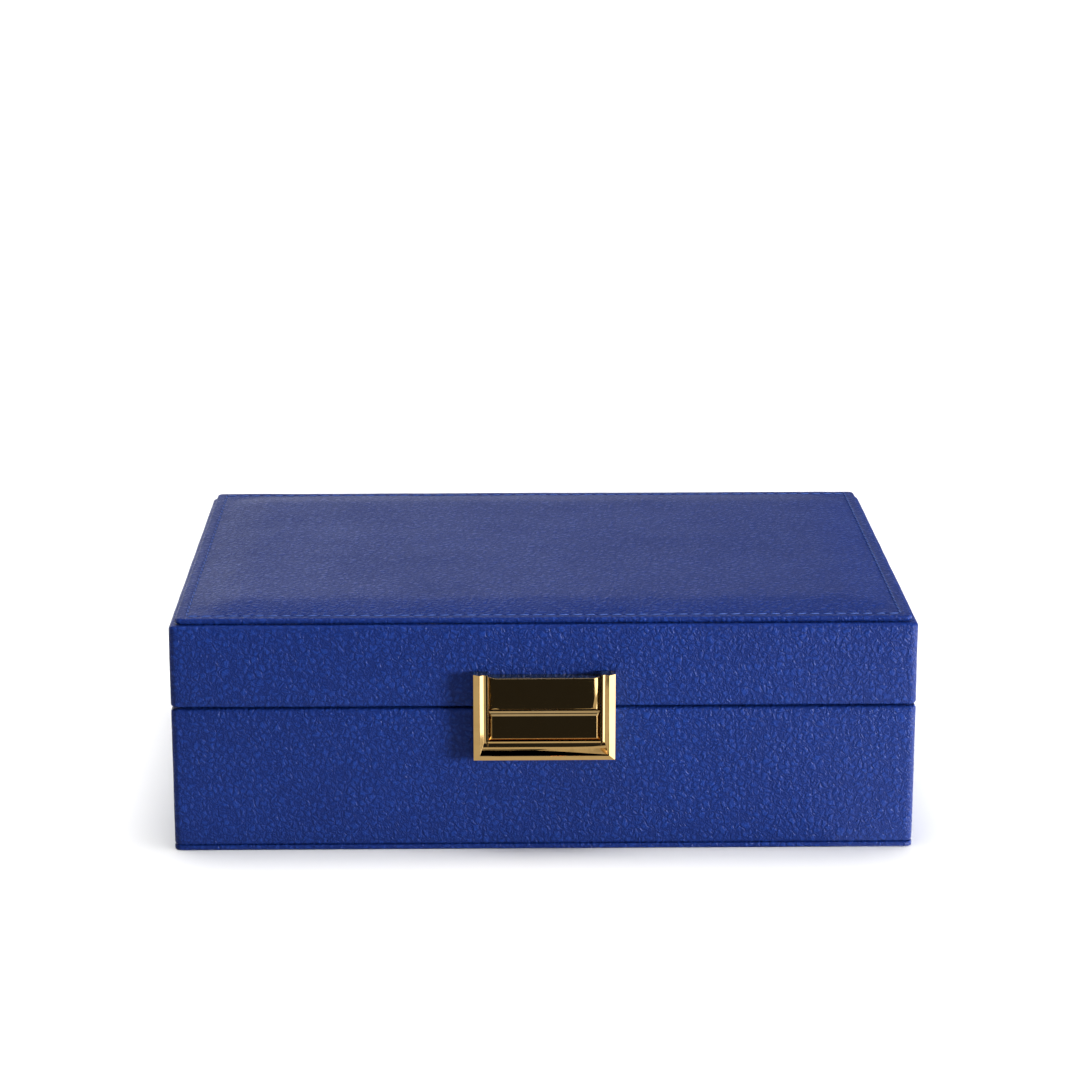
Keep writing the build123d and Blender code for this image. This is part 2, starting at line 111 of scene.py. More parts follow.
def level_at(z):
    """A test for edges that lie at one height."""
    return lambda edge: all(abs(v.co.z - z) < 1e-6 for v in edge.verts)


def facing(x, y, z, smallest=0.0):
    """A test for faces by where they point, and by their size in square metres."""
    way = Vector((x, y, z))
    return lambda face: face.normal.dot(way) > 0.99 and face.calc_area() > smallest


def rounded_block(name, low, high, corner, low_rim, high_rim):
    """A block with rounded upright corners and rounded edges above and below. Left in edit mode."""
    piece = block(name, low, high)
    edit(piece)
    pick(piece, "EDGE", upright)
    bpy.ops.mesh.bevel(offset=corner, segments=7, affect="EDGES")
    for z, rim in ((low[2], low_rim), (high[2], high_rim)):
        if rim:
            pick(piece, "EDGE", level_at(z))
            bpy.ops.mesh.bevel(offset=rim, segments=4, affect="EDGES")
    return piece


def cut_grid(piece, axis, places):
    """Cuts the whole mesh along planes square to an axis, which leaves it in one piece."""
    normal = [1.0 if i == axis else 0.0 for i in range(3)]
    for place in places:
        bpy.ops.mesh.select_all(action="SELECT")
        point = [place if i == axis else 0.0 for i in range(3)]
        bpy.ops.mesh.bisect(plane_co=point, plane_no=normal)


def steps(low, high, pitch):
    """Evenly spaced places between two ends, about a pitch apart."""
    count = max(1, round((high - low) / pitch))
    return [low + (high - low) * i / count for i in range(1, count)]


def modify(piece, kind, **settings):
    """Adds a modifier and applies it."""
    if bpy.context.mode != "OBJECT":
        bpy.ops.object.mode_set(mode="OBJECT")
    bpy.ops.object.select_all(action="DESELECT")
    piece.select_set(True)
    bpy.context.view_layer.objects.active = piece
    modifier = piece.modifiers.new(kind, kind)
    for key, value in settings.items():
        setattr(modifier, key, value)
    bpy.ops.object.modifier_apply(modifier=modifier.name)


def smooth(piece, angle=35):
    """Smooth shading, broken at edges sharper than the angle."""
    bpy.ops.object.mode_set(mode="OBJECT")
    bpy.ops.object.select_all(action="DESELECT")
    piece.select_set(True)
    bpy.context.view_layer.objects.active = piece
    bpy.ops.object.shade_smooth_by_angle(angle=math.radians(angle))


def place(piece, body, finish, *nodes):
    """Gives a finished piece its material and body, and hides the CAD nodes it stands for."""
    piece.data.materials.clear()
    piece.data.materials.append(finish.material)
    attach(piece, body)
    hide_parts(*nodes)


class Amount:
    """A number that varies over a surface. Sums on it add Math nodes."""

    def __init__(self, finish, socket):
        self.finish = finish
        self.socket = socket

    def math(self, operation, *operands):
        return self.finish.node("Math", {"operation": operation}, dict(enumerate(operands)))

    def __add__(self, other):
        return self.math("ADD", self, other)

    def __sub__(self, other):
        return self.math("SUBTRACT", self, other)

    def __rsub__(self, other):
        return self.math("SUBTRACT", other, self)

    def __mul__(self, other):
        return self.math("MULTIPLY", self, other)

    __radd__ = __add__
    __rmul__ = __mul__

    def band(self, low, high):
        """0 below low, 1 above high, and a soft step between."""
        settings = {"interpolation_type": "SMOOTHSTEP"}
        return self.finish.node("MapRange", settings, {"Value": self, "From Min": low, "From Max": high})


class Finish:
    """A material on a Principled surface, with one method that adds any node behind it."""

    def __init__(self, name, slot, **constants):
        self.slot = slot
        self.material = bpy.data.materials.new(name)
        self.material.use_nodes = True
        self.nodes = self.material.node_tree.nodes
        self.surface = self.nodes["Principled BSDF"]
        for key, value in constants.items():
            self.surface.inputs[key.replace("_", " ")].default_value = value

    def link(self, value, socket):
        if isinstance(value, Amount):
            self.material.node_tree.links.new(value.socket, socket)
        elif value is not None:
            socket.default_value = value

    def node(self, kind, settings=None, values=None, output=0):
        """Adds a node: its settings are set first, then the values or links of its sockets."""
        made = self.nodes.new("ShaderNode" + kind)
        for key, value in (settings or {}).items():
            setattr(made, key, value)
        for key, value in (values or {}).items():
            self.link(value, made.inputs[key])
        return Amount(self, made.outputs[output])

    def millimetres(self, scale=(1, 1, 1), turn=(0, 0, 0)):
        """The place on the object, in millimetres, scaled and turned if asked."""
        here = self.node("TexCoord", output="Object")
        size = [1000 * s for s in scale]
        angles = [math.radians(a) for a in turn]
        return self.node("Mapping", None, {"Vector": here, "Scale": size, "Rotation": angles})

    def noise(self, where, scale, detail=2.0, roughness=0.5):
        values = {"Vector": where, "Scale": scale, "Detail": detail, "Roughness": roughness}
        return self.node("TexNoise", None, values, "Fac")

    def mix(self, share, first, second):
        """A colour between two colours."""
        values = {"Factor": share, 6: first, 7: second}
        return self.node("Mix", {"data_type": "RGBA"}, values, 2)

    def wear(self, colour=None, roughness=None, height=None, depth=0.0001, metallic=None):
        """Connects what varies. Depth is the height of the relief in metres."""
        for key, value in (("Base Color", colour), ("Roughness", roughness), ("Metallic", metallic)):
            self.link(value, self.surface.inputs[key])
        if height is not None:
            bump = self.node("Bump", None, {"Height": height, "Distance": depth, "Strength": 1.0})
            self.link(bump, self.surface.inputs["Normal"])
        return self


def pebbled_hide(name, slot, painted_crease_shade, ridge):
    """Milled hide: small uneven pebbles with creases between them, and finer grain on top. The colour
    darkens in the creases as painted shade.
    """
    hide = Finish(name, slot, Specular_IOR_Level=0.14)
    here = hide.millimetres()
    drift = hide.node("TexNoise", None, {"Vector": here, "Scale": 0.4, "Detail": 3.0}, "Color")
    drift = hide.node("VectorMath", {"operation": "SUBTRACT"}, {0: drift, 1: (0.5, 0.5, 0.5)})
    drift = hide.node("VectorMath", {"operation": "SCALE"}, {0: drift, "Scale": 2.6})
    warped = hide.node("VectorMath", {"operation": "ADD"}, {0: here, 1: drift})
    edge = {"feature": "DISTANCE_TO_EDGE"}
    pebble = hide.node("TexVoronoi", edge, {"Vector": warped, "Scale": PEBBLES_PER_MM, "Randomness": 1.0})
    crumb = hide.node("TexVoronoi", edge, {"Vector": warped, "Scale": CRUMBS_PER_MM, "Randomness": 1.0})
    slanted = hide.millimetres((0.9, 0.35, 0.35), (0, 38, 25))
    pull = hide.noise(slanted, 0.55, 3.0)
    pores = hide.noise(here, 3.5, 2.0)
    dome = pebble.band(0.0, 0.40)
    small = crumb.band(0.0, 0.34)
    height = dome * 0.60 + small * 0.30 + pores * 0.14 + pull.band(0.35, 0.65) * 0.25
    # The colour goes darker in the creases, which is painted shade. The same crease mask also makes the
    # creases rougher.
    crease_for_shade_and_roughness = 1 - dome * 0.65 - small * 0.35
    patches = hide.noise(here, 0.035, 3.0)
    colour = hide.mix(crease_for_shade_and_roughness * 1.05 + (patches - 0.5) * 0.35 + (pores - 0.5) * 0.5, ridge, painted_crease_shade)
    roughness = 0.26 + crease_for_shade_and_roughness * 0.16 + (patches - 0.5) * 0.10 + pores * 0.06
    return hide.wear(colour, roughness, height, GRAIN_RELIEF)


blue_hide = pebbled_hide("blue_pebbled_hide", "blue_leather",
                         painted_crease_shade=(0.0032, 0.0138, 0.100, 1), ridge=(0.0088, 0.0315, 0.187, 1))

bottom_low, bottom_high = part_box("bottom_cover")
bottom = rounded_block("bottom_panel_hide", bottom_low, bottom_high, CORNER, PANEL_RIM, PANEL_RIM)
for axis in (0, 1):
    cut_grid(bottom, axis, steps(bottom_low[axis], bottom_high[axis], 20 * MM))
smooth(bottom)
place(bottom, "base", blue_hide, "bottom_cover")

# ---- Base hide ----
# One strip of pebbled hide glued round the walls. It turns in under the bottom panel and over
# the rim as far as the lining, and it is cut away behind for the two hinges.
HIDE = 0.8 * MM            # thinner than RIM, so that the turned edge doesn't cross itself
TURN_IN = 12 * MM
HINGE_ROOM = 0.3 * MM
KNUCKLE = 2.0 * MM
LEAF = 1.45 * MM           # from the parting line to the far face of a hinge leaf
hinge_axis = Vector(next(j["pos_m"] for j in frame["joints"] if j["name"] == "lid_hinge"))


def unevenness(name, size):
    """A soft cloud pattern for the slight waviness of hide on its boards."""
    clouds = bpy.data.textures.new(name, "CLOUDS")
    clouds.noise_scale = size
    clouds.noise_depth = 2
    return clouds


hide_waves = unevenness("hide_waves", 14 * MM)


def turn_over(piece, way, inner_x, inner_y):
    """Turns the lowest (way -1) or highest (way 1) face inwards as a flat lip, and opens the middle."""
    end = max(v.co.z * way for v in bmesh.from_edit_mesh(piece.data).verts)
    pick(piece, "FACE", lambda f: f.normal.z * way > 0.99 and f.calc_center_median().z * way > end - 1e-6)
    corners = [v.co for f in bmesh.from_edit_mesh(piece.data).faces if f.select for v in f.verts]
    reach_x, reach_y = (max(abs(c[axis]) for c in corners) for axis in (0, 1))
    bpy.ops.mesh.extrude_region_move()
    bpy.ops.transform.resize(value=(inner_x / reach_x, inner_y / reach_y, 1))
    bpy.ops.mesh.delete(type="ONLY_FACE")


def cut_out(piece, low, high, radius=None):
    """Removes a block, or a round bar along X, from a piece."""
    if radius is None:
        tool = block("tool", low, high)
    else:
        low, high = Vector(low), Vector(high)
        bpy.ops.object.select_all(action="DESELECT")
        bpy.ops.mesh.primitive_cylinder_add(vertices=32, radius=radius, depth=high.x - low.x,
                                            location=(low + high) / 2, rotation=(0, math.pi / 2, 0))
        tool = bpy.context.object
        bpy.ops.object.transform_apply(location=True, rotation=True, scale=True)
    modify(piece, "BOOLEAN", operation="DIFFERENCE", object=tool, solver="EXACT")
    bpy.data.objects.remove(tool)


def hide_walls(name, node, lower_opening, upper_opening):
    """Hide round four walls, with its edges turned in at the bottom and at the top."""
    low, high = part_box(node)
    piece = rounded_block(name, low, high, CORNER, RIM, RIM)
    for inset, way in ((lower_opening, -1), (upper_opening, 1)):
        turn_over(piece, way, high.x - inset, high.y - inset)
    cut_grid(piece, 2, steps(low.z + RIM, high.z - RIM, 5 * MM))
    for axis in (0, 1):
        cut_grid(piece, axis, steps(low[axis] + CORNER, high[axis] - CORNER, 6 * MM))
    modify(piece, "DISPLACE", texture=hide_waves, texture_coords="LOCAL", strength=0.22 * MM, mid_level=0.62)
    modify(piece, "SOLIDIFY", thickness=HIDE, offset=-1, use_even_offset=True)
    return piece


def let_in_hinges(piece):
    """Cuts the rear wall away for the leaves and knuckles of both hinges."""
    axis_y, axis_z = hinge_axis.y, hinge_axis.z
    for side in ("left", "right"):
        leaf_low, leaf_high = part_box(f"hinge_{side}_base_leaf")
        pin_low, pin_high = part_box(f"hinge_{side}_pin")
        cut_out(piece, (pin_low.x - HINGE_ROOM, axis_y, axis_z), (pin_high.x + HINGE_ROOM, axis_y, axis_z),
                KNUCKLE + HINGE_ROOM)
        cut_out(piece, (leaf_low.x, leaf_low.y, axis_z - LEAF), (leaf_high.x, axis_y, axis_z + LEAF))


base_low, base_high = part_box("base_cover")
lining_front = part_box("base_front_lining")[0].y
base_hide = hide_walls("base_hide", "base_cover", TURN_IN, lining_front - base_low.y)
let_in_hinges(base_hide)
smooth(base_hide)
place(base_hide, "base", blue_hide, "base_cover")

# ---- Boards ----
# Poplar boards butted at the corners of both halves, a thin board in the bottom and in the lid,
# and grey card in the two outer panels. They carry the hide and show only in the hinge mortises.


def grained_wood(name, slot, pale, dark):
    """Sanded poplar: long soft bands and short pores along the board."""
    wood = Finish(name, slot, Specular_IOR_Level=0.3)
    along = wood.millimetres((0.04, 0.5, 0.5))
    bands = wood.noise(along, 0.6, 5.0)
    pores = wood.noise(wood.millimetres((0.15, 3.0, 3.0)), 1.0, 3.0)
    colour = wood.mix(bands.band(0.3, 0.7) * 0.7 + pores.band(0.5, 0.7) * 0.3, pale, dark)
    return wood.wear(colour, 0.62 + pores * 0.2, bands * 0.4 + pores * 0.6, 0.00006)


def grey_card(name, slot, pale, dark):
    """Uncoated bookbinding card: matted fibres and flecks."""
    card = Finish(name, slot, Specular_IOR_Level=0.2)
    here = card.millimetres()
    fibres = card.noise(here, 2.2, 6.0, 0.7)
    flecks = card.noise(here, 0.7, 2.0).band(0.62, 0.70)
    colour = card.mix(fibres * 0.7 + flecks * 0.3, pale, dark)
    return card.wear(colour, 0.86 + fibres * 0.1, fibres, 0.00008)


poplar = grained_wood("sanded_poplar", "wood_board", (0.62, 0.47, 0.30, 1), (0.42, 0.28, 0.15, 1))
card = grey_card("grey_card", "card", (0.40, 0.37, 0.32, 1), (0.24, 0.22, 0.19, 1))
foam = grey_card("foam_sheet", "foam", (0.80, 0.77, 0.66, 1), (0.62, 0.58, 0.46, 1))


def finish_nodes(finish, names):
    """Gives CAD nodes that keep their own shape a material."""
    for name in names:
        node = frame["nodes"][name]
        node.data.materials.clear()
        node.data.materials.append(finish.material)


finish_nodes(poplar, [n for n in frame["nodes"] if n.endswith("_board")])
finish_nodes(card, ["bottom_card"])
PANEL_INSET = 1.7 * MM     # how far the top panel stays inside the walls
CARD_EDGE = PANEL_INSET + 0.5 * MM      # the card stays behind the hide's rounded edge too
card_low, card_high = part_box("top_card")
top_card = block("top_card_sheet", (card_low.x + CARD_EDGE, card_low.y + CARD_EDGE, card_low.z),
                 (card_high.x - CARD_EDGE, card_high.y - CARD_EDGE, card_high.z))
place(top_card, "lid", card, "top_card")
finish_nodes(foam, ["top_padding"])

# ---- Base lining ----
# Four strips of card wrapped in pale suede, glued inside the walls. They stand above the rim as
# a lip that guides the lid down.


def soft_suede(name, slot, pale, shade):
    """Suede with a short brushed nap, which lies in soft light and dark patches."""
    suede = Finish(name, slot, Specular_IOR_Level=0.15, Sheen_Weight=0.35, Sheen_Roughness=0.4)
    here = suede.millimetres()
    nap = suede.noise(here, 5.5, 4.0, 0.7)
    brushed = suede.noise(suede.millimetres((0.05, 0.16, 0.10), (0, 0, 20)), 1.0, 3.0)
    colour = suede.mix(brushed.band(0.3, 0.7) * 0.55 + nap * 0.45, pale, shade)
    return suede.wear(colour, 0.84 + nap * 0.12, nap * 0.7 + brushed * 0.3, 0.00014)


suede = soft_suede("pale_suede", "suede_lining", (0.36, 0.32, 0.265, 1), (0.24, 0.21, 0.17, 1))


def wrapped_card(name, node, edge, puff):
    """A card strip wrapped in suede: soft edges all round and slightly padded faces."""
    pitch = 8 * MM
    low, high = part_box(node)
    piece = block(name, low, high)
    edit(piece)
    bpy.ops.mesh.select_all(action="SELECT")
    bpy.ops.mesh.bevel(offset=edge, segments=3, affect="EDGES")
    for axis in range(3):
        if high[axis] - low[axis] > 3 * pitch:
            cut_grid(piece, axis, steps(low[axis] + edge, high[axis] - edge, pitch))
    modify(piece, "DISPLACE", texture=hide_waves, texture_coords="LOCAL", strength=puff, mid_level=1.0)
    smooth(piece, 50)
    place(piece, "base", suede, node)


for side in ("front", "rear", "left", "right"):
    wrapped_card(f"base_lining_{side}", f"base_{side}_lining", edge=0.5 * MM, puff=0.12 * MM)

# ---- Floor pad ----
# A thin sheet of foam under suede in the bottom of the case. It swells a little between the
# dividers that stand on it.


def padded_sheet(name, node, crown, slope, pitch):
    """A flat pad whose top rises softly from its edges by a crown."""
    low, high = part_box(node)
    piece = rounded_block(name, low, (high.x, high.y, high.z - crown), 1.0 * MM, 0.3 * MM, 0.5 * MM)
    for axis in (0, 1):
        cut_grid(piece, axis, steps(low[axis] + 1 * MM, high[axis] - 1 * MM, pitch))
    bpy.ops.object.mode_set(mode="OBJECT")
    group = piece.vertex_groups.new(name="padding")
    for vertex in piece.data.vertices:
        inward = min(high.x - abs(vertex.co.x), high.y - abs(vertex.co.y))
        share = min(1.0, max(0.0, inward / slope))
        if vertex.co.z > (low.z + high.z) / 2 - crown:
            group.add([vertex.index], share * share * (3 - 2 * share), "REPLACE")
    modify(piece, "DISPLACE", direction="Z", strength=crown, mid_level=0, vertex_group="padding")
    return piece


floor_pad = padded_sheet("floor_pad_suede", "floor_pad", crown=0.5 * MM, slope=10 * MM, pitch=7 * MM)
smooth(floor_pad, 50)
place(floor_pad, "base", suede, "floor_pad")

# ---- Dividers ----
# Thin card walls wrapped in suede, which split the case into a ring zone, an open compartment
# and three trays behind.
for node in ("long_divider", "ring_divider", "cross_divider_left", "cross_divider_right"):
    wrapped_card(f"{node}_suede", node, edge=1.1 * MM, puff=0.2 * MM)

# ---- Ring rolls ----
# Foam bars in suede, packed side by side so that rings stand in the slots between them. One is
# stuffed and swollen by cloth simulation, and the others are copies of it.
ROLL_SWELL = 0.7 * MM
ROLL_VOXEL = 2.6 * MM
ROLL_ROUND = 4.6 * MM
ROLL_PRESSURE = 4
ROLL_FRAMES = 20


def swell(piece, pressure, most, frames):
    """Blows a closed mesh up as cloth and keeps every point within a distance of where it began."""
    start = [v.co.copy() for v in piece.data.vertices]
    cloth = piece.modifiers.new("cloth", "CLOTH")
    cloth.settings.use_pressure = True
    cloth.settings.uniform_pressure_force = pressure
    cloth.settings.effector_weights.gravity = 0
    cloth.settings.mass = 0.2
    cloth.settings.tension_stiffness = 25
    cloth.settings.bending_stiffness = 2
    cloth.point_cache.frame_end = frames
    for number in range(1, frames + 1):
        bpy.context.scene.frame_set(number)
    bpy.ops.object.modifier_apply(modifier="cloth")
    bpy.context.scene.frame_set(1)
    for vertex, first in zip(piece.data.vertices, start):
        moved = vertex.co - first
        if moved.length > most:
            vertex.co = first + moved * (most / moved.length)


def ring_roll(node):
    """A bar with a round top, a little smaller than its place, which then swells to fill it."""
    low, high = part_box(node)
    shrink = Vector((ROLL_SWELL, ROLL_SWELL, ROLL_SWELL))
    piece = block(f"{node}_suede", low + shrink, high - shrink)
    edit(piece)
    pick(piece, "EDGE", lambda e: all(abs(v.co.z - high.z + ROLL_SWELL) < 1e-6 for v in e.verts)
         and abs(e.verts[0].co.y - e.verts[1].co.y) > 0.01)
    bpy.ops.mesh.bevel(offset=ROLL_ROUND, segments=6, affect="EDGES")
    bpy.ops.object.mode_set(mode="OBJECT")
    modify(piece, "REMESH", mode="VOXEL", voxel_size=ROLL_VOXEL)
    swell(piece, ROLL_PRESSURE, ROLL_SWELL, ROLL_FRAMES)
    modify(piece, "SUBSURF", levels=1, render_levels=1)
    smooth(piece, 80)
    return piece


first_roll = ring_roll("ring_roll_1")
roll_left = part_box("ring_roll_1")[0].x
rolls = [first_roll]
for number in range(2, 9):
    twin = first_roll.copy()
    twin.data = first_roll.data.copy()
    twin.name = twin.data.name = f"ring_roll_{number}_suede"
    bpy.context.scene.collection.objects.link(twin)
    bpy.ops.object.select_all(action="DESELECT")
    twin.select_set(True)
    bpy.context.view_layer.objects.active = twin
    bpy.ops.transform.translate(value=(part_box(f"ring_roll_{number}")[0].x - roll_left, 0, 0))
    bpy.ops.object.transform_apply(location=True)
    rolls.append(twin)
for number, roll in enumerate(rolls, 1):
    place(roll, "base", suede, f"ring_roll_{number}")

# ---- Lid hide ----
# The same hide round the lid's walls, turned over the rim as far as the lining and in under the
# top panel.
lid_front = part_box("lid_cover")[0].y
lid_lining_low, lid_lining_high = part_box("lid_lining")
lid_hide = hide_walls("lid_hide", "lid_cover", lid_lining_low.y - lid_front, TURN_IN)
let_in_hinges(lid_hide)
smooth(lid_hide)
place(lid_hide, "lid", blue_hide, "lid_cover")

# ---- Lid lining ----
# One strip of suede-wrapped card round the inside of the lid, up to the mirror panel.
LINING = 1.0 * MM
LINING_CORNER = 0.6 * MM
lining = rounded_block("lid_lining_suede", lid_lining_low, lid_lining_high, LINING_CORNER, 0, 0)
for way in (-1, 1):
    pick(lining, "FACE", facing(0, 0, way))
    bpy.ops.mesh.delete(type="FACE")
modify(lining, "SOLIDIFY", thickness=LINING, offset=-1)
smooth(lining)
place(lining, "lid", suede, "lid_lining")

# ---- Top panel ----
# Card and foam under hide. The hide is stitched down near the edge, and the foam lifts the
# middle in a soft slope, so that the panel is nearly flat on top.
STITCH_INSET = 3.5 * MM
SEAM_DEPTH = 0.22 * MM
SEAM_HALF = 0.75 * MM
PILLOW_START = 4.5 * MM
PILLOW_SLOPE = 15 * MM
panel_low, panel_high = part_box("top_cover")
for corner, way in ((panel_low, 1), (panel_high, -1)):
    corner.x += way * PANEL_INSET
    corner.y += way * PANEL_INSET
edge_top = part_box("top_stitching")[0].z
pillow_rise = panel_high.z - edge_top


def pillow(inset):
    """A ramp that ends rather briskly in the flat middle."""
    share = min(1.0, max(0.0, (inset - PILLOW_START) / PILLOW_SLOPE))
    return 1 - (1 - share) ** 1.35


def inward(x, y, corner):
    """How far a place is inside the panel's edge, measured round a rounded corner."""
    across, along = panel_high.x - abs(x), panel_high.y - abs(y)
    if across < corner and along < corner:
        return corner - math.hypot(corner - across, corner - along)
    return min(across, along)


def weigh(piece, name, weight_of):
    """A vertex group on the upper face, with a weight worked out from each point's place."""
    group = piece.vertex_groups.new(name=name)
    for vertex in piece.data.vertices:
        if vertex.co.z > edge_top - 0.05 * MM:
            group.add([vertex.index], weight_of(vertex.co.x, vertex.co.y), "REPLACE")


top = rounded_block("top_panel_hide", panel_low, (panel_high.x, panel_high.y, edge_top),
                    CORNER, low_rim=1.2 * MM, high_rim=0.7 * MM)
pick(top, "FACE", facing(0, 0, -1))
bpy.ops.mesh.delete(type="FACE")
# Cuts close together over the seam and the slope, in millimetres from the panel's edge.
bands = [2.2, 2.8, 3.2, 3.5, 3.8, 4.2, 4.8, 6, 8, 10, 12, 14, 16, 18, 20.5]
for axis in (0, 1):
    far = panel_high[axis]
    near_edge = [far - b * MM for b in bands]
    cut_grid(top, axis, near_edge + [-c for c in near_edge])
    cut_grid(top, axis, steps(-near_edge[-1], near_edge[-1], 5 * MM))
bpy.ops.object.mode_set(mode="OBJECT")
weigh(top, "padding", lambda x, y: pillow(inward(x, y, 20 * MM)))
weigh(top, "seam", lambda x, y: max(0.0, 1 - abs(inward(x, y, 5 * MM) - STITCH_INSET) / SEAM_HALF))
modify(top, "DISPLACE", direction="Z", strength=pillow_rise - 0.15 * MM, mid_level=0, vertex_group="padding")
modify(top, "DISPLACE", direction="Z", strength=-SEAM_DEPTH, mid_level=0, vertex_group="seam")
modify(top, "DISPLACE", texture=hide_waves, texture_coords="LOCAL", strength=0.25 * MM, mid_level=0.7)
modify(top, "SOLIDIFY", thickness=HIDE, offset=-1)
smooth(top, 60)
place(top, "lid", blue_hide, "top_cover")

# ---- Stitching ----
# A row of thick waxed thread in the hide's own blue, sunk in the seam all round the top panel.
STITCH_PITCH = 4.03 * MM
STITCH_LENGTH = 3.1 * MM
THREAD = 0.44 * MM
STITCH_SLANT = 7            # degrees


def waxed_thread(name, slot, pale, dark):
    """Twisted thread: slanting strands under a trace of wax."""
    thread = Finish(name, slot, Specular_IOR_Level=0.4)
    values = {"Vector": thread.millimetres(), "Scale": 1.2}
    twist = thread.node("TexWave", {"bands_direction": "DIAGONAL"}, values, 1)
    fuzz = thread.noise(thread.millimetres(), 9.0, 2.0)
    return thread.wear(thread.mix(twist * 0.6 + fuzz * 0.4, pale, dark), 0.45 + fuzz * 0.2, twist, 0.00004)


thread = waxed_thread("waxed_thread", "thread", (0.060, 0.120, 0.37, 1), (0.028, 0.062, 0.26, 1))


def stitch_row(name, start, along, count, pitch):
    """One stitch, set at a slight slant, and an array of it along one side of the panel."""
    bpy.ops.object.select_all(action="DESELECT")
    turn = math.atan2(along.y, along.x) + math.radians(STITCH_SLANT)
    bpy.ops.mesh.primitive_uv_sphere_add(segments=8, ring_count=6, radius=0.5, location=start,
                                         scale=(STITCH_LENGTH, THREAD, THREAD * 0.8), rotation=(0, 0, turn))
    bpy.ops.object.transform_apply(location=True, rotation=True, scale=True)
    row = bpy.context.object
    row.name = row.data.name = name
    modify(row, "ARRAY", count=count, use_relative_offset=False, use_constant_offset=True,
           constant_offset_displace=along * pitch)
    return row


stitch_z = edge_top - SEAM_DEPTH + THREAD * 0.35
stitch_x, stitch_y = panel_high.x - STITCH_INSET, panel_high.y - STITCH_INSET
rows = []
for along, side in (("x", -1), ("x", 1), ("y", -1), ("y", 1)):
    half = stitch_x if along == "x" else stitch_y
    count = round(2 * half / STITCH_PITCH)
    pitch = 2 * half / count
    if along == "x":
        way, start = Vector((1, 0, 0)), Vector((-half + pitch / 2, side * stitch_y, stitch_z))
    else:
        way, start = Vector((0, 1, 0)), Vector((side * stitch_x, -half + pitch / 2, stitch_z))
    rows.append(stitch_row(f"stitch_row_{len(rows)}", start, way, count, pitch))
bpy.ops.object.select_all(action="DESELECT")
for row in rows:
    row.select_set(True)
bpy.context.view_layer.objects.active = rows[0]
bpy.ops.object.join()
stitches = bpy.context.object
stitches.name = stitches.data.name = "top_panel_stitches"
smooth(stitches, 80)
place(stitches, "lid", thread, "top_stitching")

# ---- Mirror panel ----
# A padded suede panel in the lid's ceiling, with a window and a rebate that hold a plain mirror.
frame_low, frame_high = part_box("lid_panel")
glass_low, glass_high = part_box("mirror")
MIRROR_COVER = 3.0 * MM    # how far the window's edge laps over the glass
MIRROR_ROOM = 0.1 * MM


def pocket(piece, way, half_x, half_y, depth):
    """Sinks a rectangle into the face that points up (way 1) or down (way -1)."""
    pick(piece, "FACE", facing(0, 0, way, 0.01))
    corners = [v.co for f in bmesh.from_edit_mesh(piece.data).faces if f.select for v in f.verts]
    reach_x, reach_y = (max(abs(c[axis]) for c in corners) for axis in (0, 1))
    bpy.ops.mesh.extrude_region_move()
    bpy.ops.transform.resize(value=(half_x / reach_x, half_y / reach_y, 1))
    bpy.ops.mesh.extrude_region_move(TRANSFORM_OT_translate={"value": (0, 0, -way * depth)})
    bpy.ops.mesh.delete(type="ONLY_FACE")


mirror_frame = block("mirror_panel_suede", frame_low, frame_high)
edit(mirror_frame)
rebate = frame_high.z - glass_low.z
window_lip = glass_low.z - frame_low.z
pocket(mirror_frame, 1, glass_high.x + MIRROR_ROOM, glass_high.y + MIRROR_ROOM, rebate)
pocket(mirror_frame, -1, glass_high.x - MIRROR_COVER, glass_high.y - MIRROR_COVER, window_lip)
pick(mirror_frame, "EDGE", lambda e: e.is_boundary)
bpy.ops.mesh.bridge_edge_loops()
pick(mirror_frame, "EDGE", level_at(frame_low.z))
bpy.ops.mesh.bevel(offset=0.9 * MM, segments=4, affect="EDGES")
smooth(mirror_frame, 50)
place(mirror_frame, "lid", suede, "lid_panel")


def silvered_glass(name, slot):
    """Silvered glass with a trace of dust and finger marks."""
    glass = Finish(name, slot, Specular_IOR_Level=0.5)
    marks = glass.noise(glass.millimetres(), 0.12, 5.0, 0.6)
    colour = glass.mix(marks.band(0.5, 0.8) * 0.2, (0.86, 0.88, 0.88, 1), (0.74, 0.77, 0.78, 1))
    return glass.wear(colour, 0.02 + marks.band(0.55, 0.8) * 0.10, metallic=1.0)


finish_nodes(silvered_glass("silvered_glass", "mirror_glass"), ["mirror"])

# ---- Hinges ----
# Two brass stop hinges let into the rims. A heel on each leaf meets the other when the lid is
# just past upright. Brass pins with domed heads, and countersunk screws.


def polished_metal(name, slot, colour, shade, low, high, scratch=0.3):
    """Plated or drawn metal, with hairline scratches. Low and high bound its roughness."""
    metal = Finish(name, slot)
    here = metal.millimetres()
    haze = metal.noise(here, 0.16, 4.0, 0.6)
    hair = metal.noise(metal.millimetres((0.12, 6.0, 6.0), (0, 12, 0)), 1.0, 2.0)
    tone = metal.mix(haze.band(0.35, 0.75) * 0.6, colour, shade)
    roughness = low + haze.band(0.4, 0.8) * (high - low) + hair.band(0.62, 0.75) * (high - low) * 0.5
    return metal.wear(tone, roughness, hair * scratch + haze * 0.4, 0.000004, metallic=1.0)


